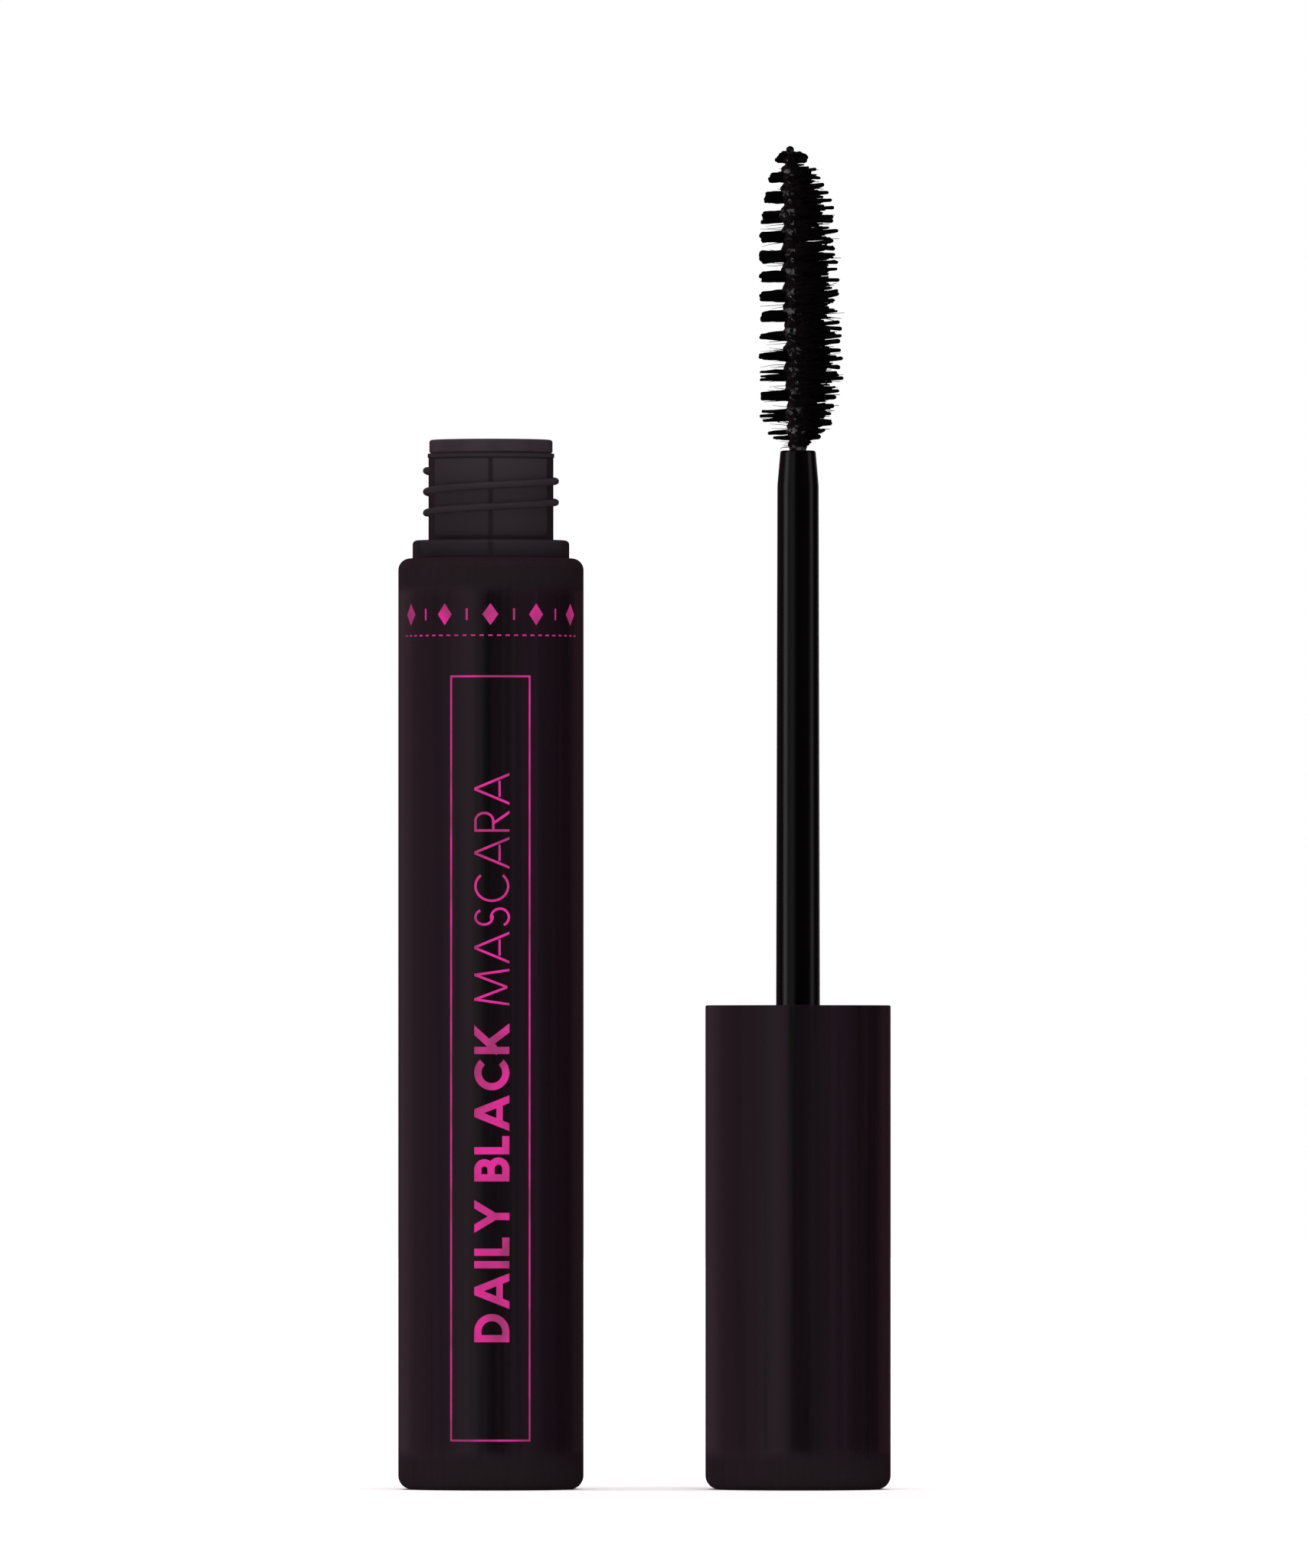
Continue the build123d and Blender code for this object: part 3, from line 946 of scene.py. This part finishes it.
washer_foam, tree, shader = finish_of(
    "washer_foam", (0.6, 0.6, 0.57), 0.8, Specular_IOR_Level=0.3
)
vary_colour(tree, shader, noise_of(tree, 4000, 4), (0.5, 0.5, 0.47), (0.66, 0.66, 0.62))
raise_bump(tree, shader, noise_of(tree, 6000, 3), 0.5, 0.03)
frame["nodes"]["cap_gasket"].data.materials.clear()
frame["nodes"]["cap_gasket"].data.materials.append(washer_foam)

# ---------------------------------------------------------------------------------------
# Stem: a glossy black polypropylene rod with a slight draft and a coned tip. Its plug is
# pressed into the inner cap, and the wire stands in the hole at its tip.
# ---------------------------------------------------------------------------------------

stem_low, stem_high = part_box("wand_stem")
STEM_TOP = stem_high.z / MM
STEM_BOTTOM = stem_low.z / MM
STEM_SEAT = STEM_BOTTOM + 9.5
PLUG_RADIUS = 1.8
STEM_RADIUS = 2.1
CONE_BOTTOM = 94.8
CONE_RADIUS = 1.95
TIP_RADIUS = 1.66
HOLE_MOUTH = 0.9
HOLE_RADIUS = 0.5
HOLE_DEPTH = 9.6

stem = turned(
    "stem",
    outline(
        (0.2, STEM_BOTTOM),
        (PLUG_RADIUS, STEM_BOTTOM, 0.2),
        (PLUG_RADIUS, STEM_SEAT),
        (STEM_RADIUS, STEM_SEAT),
        (CONE_RADIUS, CONE_BOTTOM, 6.0),
        (TIP_RADIUS, STEM_TOP, 0.24),
        (HOLE_MOUTH, STEM_TOP, 0.1),
        (HOLE_RADIUS, STEM_TOP - 0.5, 0.1),
        (HOLE_RADIUS, STEM_TOP - HOLE_DEPTH),
        (0.1, STEM_TOP - HOLE_DEPTH),
    ),
    CAP_X,
    around=96,
)
stem_gloss, tree, shader = finish_of(
    "stem_gloss", (0.0004, 0.0004, 0.0004), 0.16, Specular_IOR_Level=0.06
)
drawn_out = noise_of(tree, 200, 2, (1, 1, 0.1))
vary_colour(tree, shader, drawn_out, (0.0003, 0.0003, 0.0003), (0.0006, 0.0006, 0.0006))
vary_roughness(tree, shader, noise_of(tree, 600, 3, (1, 1, 0.1)), 0.2, 0.27)
raise_bump(tree, shader, noise_of(tree, 900, 2), 0.06, 0.002)
wand_lit.objects.link(stem)
stem.data.materials.append(stem_gloss)
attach(stem, "wand")
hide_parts("wand_stem")

# ---------------------------------------------------------------------------------------
# Wire of the brush: one steel wire bent double round the bristles and twisted left-handed.
# It leans a little from the stem's axis, and dried paste covers it in lumps.
# ---------------------------------------------------------------------------------------

BRUSH_LEAN = math.radians(1.5)
WIRE_PITCH = 3.75
WIRE_LENGTH = 28.0
STRAND_RADIUS = 0.23
STRAND_OFFSET = 0.22
KNOB_RADIUS = 0.38
KNOB_TOP = 28.8


def on_brush(r, turn, up):
    """Point of the brush at distance r from the wire's axis, at angle turn from the long side,
    and up the wire from the stem's tip: the upright point leant over by BRUSH_LEAN."""
    x, y = r * np.cos(turn), r * np.sin(turn)
    x, y, up = np.broadcast_arrays(x, y, up)
    along = np.cos(BRUSH_LEAN) * x - np.sin(BRUSH_LEAN) * up
    above = np.sin(BRUSH_LEAN) * x + np.cos(BRUSH_LEAN) * up
    return np.stack([CAP_X + along * MM, y * MM, (STEM_TOP + above) * MM], -1)


def twisted_wire():
    """Two strands of a double helix that turns against the sun: strand k stands at
    STRAND_OFFSET, at angle k 180 - 360 up / pitch, and is a tube of STRAND_RADIUS."""
    up = np.linspace(-9, WIRE_LENGTH, 460)
    rings = []
    for k in (0, 1):
        turn = k * np.pi - 2 * np.pi * np.maximum(up, 0)[:, None] / WIRE_PITCH
        round_strand = np.linspace(0, 2 * np.pi, 8, endpoint=False)[None]
        x = STRAND_OFFSET * np.cos(turn) + STRAND_RADIUS * np.cos(round_strand)
        y = STRAND_OFFSET * np.sin(turn) + STRAND_RADIUS * np.sin(round_strand)
        rings.append(on_brush(np.hypot(x, y), np.arctan2(y, x), up[:, None]))
    return skin("wire_strands", np.array(rings), sharp=60)


wire = twisted_wire()
wire_steel, tree, shader = finish_of("wire_steel", (0.3, 0.3, 0.31), 0.35, Metallic=1.0)
vary_roughness(tree, shader, noise_of(tree, 3000, 3), 0.25, 0.5)
wire.data.materials.append(wire_steel)
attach(wire, "wand")
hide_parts("brush_wire")

LUMPS = np.random.default_rng(7)


def lumpy(turn, up, waves=26, reach=5.0):
    """Smooth lumps from -1 to 1 over the angle and the height: a sum of cosines of
    k turn + m up + phase with random whole k, random m and random phase."""
    k = LUMPS.integers(-4, 5, waves)
    m = LUMPS.normal(0, reach, waves)
    phase = LUMPS.uniform(0, 2 * np.pi, waves)
    waves_at = k * turn[..., None] + m * up[..., None] + phase
    return np.cos(waves_at).sum(-1) / math.sqrt(waves / 2) / 2


# Radius of the paste by height above the stem's tip, before its twist and its lumps.
PASTE_RADII = ((-0.2, 0.86), (0.6, 0.84), (2.2, 0.96), (24, 0.92), (27.2, 0.72))
TWIST_DEPTH = 0.16
LUMP_DEPTH = 0.15


def paste_column():
    """Paste round the wire: r = radius + depth cos 2(turn + 2 pi up / pitch) + lumps, so that
    it follows the twist of the two strands. At the wire's end r falls as a square root of the
    distance to the end, down to a knob of r = knob radius times sqrt(1 - height^2)."""
    column = np.linspace(-0.12, WIRE_LENGTH - 0.3, 420)
    up = np.concatenate([column, np.linspace(WIRE_LENGTH - 0.25, KNOB_TOP, 26)])
    turn = np.linspace(0, 2 * np.pi, 48, endpoint=False)
    turn, up = np.meshgrid(turn, up)
    twist = TWIST_DEPTH * np.cos(2 * (turn + 2 * np.pi * up / WIRE_PITCH))
    r = np.interp(up, *zip(*PASTE_RADII))
    r += twist * np.clip(up / 1.5, 0, 1) + LUMP_DEPTH * lumpy(turn, up)
    height = (up - KNOB_TOP + KNOB_RADIUS) / KNOB_RADIUS
    knob = KNOB_RADIUS * np.sqrt(np.clip(1 - height**2, 0, 1))
    falling = (r - 0.1) * np.clip((WIRE_LENGTH + 0.25 - up) / 0.6, 0, 1) ** 0.5
    r = np.where(up > WIRE_LENGTH - 0.35, np.maximum(knob, falling), r)
    return skin("paste_on_wire", on_brush(np.maximum(r, 0.03), turn, up)[None], sharp=80)


paste = paste_column()
paste_painted_glints, tree, shader = finish_of(
    "paste_painted_glints", (0.0006, 0.0006, 0.0006), 0.3, Specular_IOR_Level=0.12
)
# Painted glints: paler flecks stand in for highlights on the wet paste. They lie in bands, one
# for each half turn of the wire.
GLINT_BASE = (0.0006, 0.0006, 0.0006)
PAINTED_GLINT_PALE = (0.042, 0.042, 0.042)
up = math_of(tree, "SUBTRACT", place_of(tree)["Z"], STEM_TOP * MM)
half_turns = math_of(tree, "MULTIPLY", up, 4 * math.pi / (WIRE_PITCH * MM))
band = step_of(tree, math_of(tree, "COSINE", half_turns), 0.3, 0.8)
grain = step_of(tree, noise_of(tree, 2600, 3, (1, 1, 0.6)), 0.5, 0.62)
painted_glint = math_of(tree, "MULTIPLY", band, grain)
tree.links.new(blend_of(tree, painted_glint, GLINT_BASE, PAINTED_GLINT_PALE), shader.inputs["Base Color"])
vary_roughness(tree, shader, noise_of(tree, 2600, 4), 0.15, 0.4)
raise_bump(tree, shader, noise_of(tree, 3000, 2), 0.9, 0.12)
paste.data.materials.append(paste_painted_glints)
paste_lit.objects.link(paste)
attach(paste, "wand")

# ---------------------------------------------------------------------------------------
# Bristles: black nylon filaments held in the twist, a row for each half turn. The long side
# is dense and uneven; on the short side paste has gathered each row into a tuft cut flush.
# ---------------------------------------------------------------------------------------

ROW_COUNT = 15
ROW_SPACING = 1.874
FIRST_ROW = 1.5
LOWEST_ROOT = 0.5
HIGHEST_ROOT = 28.3
ROOT_RADIUS = 0.4
# Reach of the bristles by height above the stem's tip, on the long side and on the flush side.
LONG_SIDE = (
    (0.6, 1.7),
    (1.4, 2.6),
    (2.3, 3.4),
    (3.1, 3.75),
    (4.9, 4.35),
    (7.5, 4.65),
    (19.6, 4.62),
    (22.2, 4.3),
    (23.9, 3.85),
    (25.7, 3.15),
    (27.4, 1.9),
    (28.4, 1.0),
)
FLUSH_SIDE = (
    (0.6, 2.1),
    (1.4, 2.9),
    (2.4, 3.5),
    (4.5, 3.52),
    (12.0, 3.36),
    (20.0, 3.14),
    (22.0, 2.95),
    (23.9, 2.65),
    (25.7, 2.1),
    (27.4, 1.4),
    (28.4, 0.8),
)
# Loose filaments of the long side: how many in a row, between which angles, their share of the
# full reach (least, greatest, or with the usual share between them), mean and spread of the
# lift, thickness at the root and at the tip, and then the lumps, sides and steps of the tube.
LOOSE = (
    (3, (-0.7, 0.7), (0.8, 0.9), (0.02, 0.05), (0.14, 0.18), (0.09, 0.14), (0.1, 7, 5)),
    (100, (-1.3, 1.65), (0.5, 0.72, 0.8), (0.03, 0.05), (0.1, 0.14), (0.05, 0.09), (0, 5, 3)),
    (12, (-1.2, 1.5), (0.76, 1.03), (0.0, 0.08), (0.04, 0.06), (0.015, 0.035), (0, 4, 3)),
)
# Paste fingers of the flush side, row by row from the stem: how many strands, how far they
# spread at the tip, how thick they are, and how many stray hairs stand between the fingers.
FINGERS = (
    (2, 0.42, 0.1, 6),
    (3, 0.9, 0.1, 7),
    (3, 0.34, 0.18, 4),
    (3, 0.7, 0.09, 6),
    (3, 0.2, 0.18, 5),
    (2, 0.12, 0.15, 6),
    (3, 0.36, 0.25, 3),
    (4, 0.5, 0.2, 2),
    (4, 0.66, 0.17, 2),
    (4, 0.54, 0.29, 3),
    (4, 0.42, 0.27, 3),
    (5, 0.88, 0.13, 3),
    (5, 0.7, 0.18, 2),
    (4, 0.5, 0.2, 2),
    (4, 0.42, 0.26, 1),
)
FILAMENTS_IN_FINGER = 5
THICK_FINGER = 0.15
DOME = np.radians([35, 62, 84])


def filaments(root, tip, root_thick, tip_thick, bow, lumps, sides, steps):
    """Filaments as tapered tubes: the centre line runs from root to tip with a sine bow, the
    radius runs from root_thick to tip_thick with sine lumps, and the tip is a half ball."""
    run = tip - root
    length = np.linalg.norm(run, axis=1)[:, None]
    ball = tip_thick[:, None] / length
    shaft = np.linspace(0, 1, steps) * (1 - ball)
    t = np.concatenate([shaft, 1 - ball * (1 - np.sin(DOME))], 1)
    line = root[:, None] + run[:, None] * t[..., None]
    line = line + bow[:, None] * np.sin(np.pi * t)[..., None]
    side = np.cross(run, (0, 0, 1.0))
    side /= np.linalg.norm(side, axis=1, keepdims=True)
    over = np.cross(side, run / length)
    a = np.linspace(0, 2 * np.pi, sides, endpoint=False)[None, :, None]
    around = side[:, None] * np.cos(a) + over[:, None] * np.sin(a)
    thick = root_thick[:, None] + (tip_thick - root_thick)[:, None] * t
    thick *= 1 + lumps * np.sin(9 * t + 2.4 * np.arange(len(root))[:, None])
    thick *= np.concatenate([np.ones(steps), np.cos(DOME)])
    return line[:, :, None] + around[:, None] * thick[:, :, None, None]


def reach_at(turn, up):
    """Length of the bristles: the long side's radius, cut flat at the flush side's distance."""
    long_reach = np.interp(up, *zip(*LONG_SIDE))
    flush = np.interp(up, *zip(*FLUSH_SIDE))
    return np.minimum(long_reach, flush / np.maximum(-np.cos(turn), 0.2))


def row_of_bristles(row):
    """One row of the twist, whose bristles drop by half a row spacing over each quarter turn:
    sticks, bristles and hairs at random angles on the long side, and paste fingers with a few
    stray hairs between them on the flush side. The last row is a tuft of thick sticks."""
    rng = np.random.default_rng(100 + row)
    level = FIRST_ROW + row * ROW_SPACING
    last = row == ROW_COUNT - 1
    parts = []

    def add(turn, up, share, lift, roots, tips, lumps=0.0, sides=5, steps=3, bend=0.05):
        """Filaments from near the wire to their share of the reach, raised by lift times it."""
        count = len(turn)
        out = reach_at(turn, up) * share
        root = on_brush(np.full(count, ROOT_RADIUS), turn, up)
        tip = on_brush(out, turn, up + lift * out)
        bow = rng.normal(0, bend, (count, 3)) * MM
        parts.append(filaments(root, tip, roots * MM, tips * MM, bow, lumps, sides, steps))

    def spread(count, low, high, scatter):
        """Random angles, and the height of the twist there with some scatter."""
        turn = rng.uniform(low, high, count)
        up = level - turn / np.pi * ROW_SPACING + rng.normal(0, scatter, count)
        return turn, np.clip(up, LOWEST_ROOT, HIGHEST_ROOT)

    count = 9 if last else 2 + row % 2
    turn, up = spread(count, -0.65, 0.65, 0.1)
    fat = rng.uniform(0.2, 0.3, count) if last else rng.uniform(0.15, 0.22, count)
    lift = rng.normal(0.02, 0.05, count)
    if not last:
        turn = rng.uniform(-0.5, 0.5, count)
        even = ((np.arange(count) + 0.5) / count - 0.5) * ROW_SPACING
        at_tip = level + even + rng.normal(0, 0.12, count)
        up = np.clip(at_tip - lift * reach_at(turn, at_tip), LOWEST_ROOT, HIGHEST_ROOT)
    add(turn, up, rng.uniform(0.9, 1.0, count), lift, fat + 0.06, fat, 0.12, 7, 5)
    for count, between, share, lift, roots, tips, tube in () if last else LOOSE:
        turn, up = spread(count, *between, 0.5)
        draw = rng.triangular if len(share) == 3 else rng.uniform
        add(
            turn,
            up,
            draw(*share, count),
            rng.normal(*lift, count),
            rng.uniform(*roots, count),
            rng.uniform(*tips, count),
            *tube,
        )

    strands, width, thick, hairs = FINGERS[row]
    across = np.linspace(-1, 1, FILAMENTS_IN_FINGER) * (0.62 if thick > THICK_FINGER else 0.25)
    lane, place = np.meshgrid(across, np.linspace(-0.5, 0.5, strands))
    lane = lane.ravel() + rng.normal(0, 0.04, lane.size)
    place = place.ravel()
    count = lane.size
    up = level + place * 0.6 - lane / np.pi * ROW_SPACING * 0.35
    out = reach_at(lane + np.pi, up)
    lift = (level + place * width + rng.normal(0, 0.035, count) - up) / out
    share = rng.uniform(0.93, 1.02, strands).repeat(FILAMENTS_IN_FINGER)
    share = share * rng.uniform(0.97, 1.0, count)
    tips = thick * rng.uniform(0.8, 1.1, count)
    add(lane + np.pi, up, share, lift, np.full(count, 0.23), tips, 0.14, 7, 5)

    lane = rng.normal(0, 0.3, hairs)
    up = np.clip(level - rng.uniform(0.3, 1.5, hairs), 0.4, HIGHEST_ROOT)
    add(
        lane + np.pi,
        up,
        rng.uniform(0.55, 1.0, hairs),
        rng.normal(0.0, 0.08, hairs),
        rng.uniform(0.03, 0.045, hairs),
        rng.uniform(0.012, 0.024, hairs),
        sides=4,
        steps=4,
        bend=0.1,
    )
    return parts


def join_skins(name, parts):
    """One piece from several batches of filaments, which have different numbers of sides."""
    made = [skin(f"{name}_part", part, sharp=60) for part in parts]
    with bpy.context.temp_override(active_object=made[0], selected_editable_objects=made):
        bpy.ops.object.join()
    made[0].name = name
    made[0].data.name = name
    return made[0]


bristle_black, tree, shader = finish_of(
    "bristle_black", (0.0006, 0.0006, 0.0006), 0.4, Specular_IOR_Level=0.025
)
vary_roughness(tree, shader, noise_of(tree, 3000, 3), 0.3, 0.6)
raise_bump(tree, shader, noise_of(tree, 5000, 3), 0.4, 0.02)

for row in range(ROW_COUNT):
    bristles = join_skins(f"bristles_{row + 1:02d}", row_of_bristles(row))
    bristles.data.materials.append(bristle_black)
    paste_lit.objects.link(bristles)
    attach(bristles, "wand")
    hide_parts(f"bristle_row_{row + 1:02d}")

# The glossy shells mirror the tent alone, and not the other piece, the wand or the floor.
for piece in SCENE.objects:
    if piece.type == "MESH":
        piece.visible_glossy = False
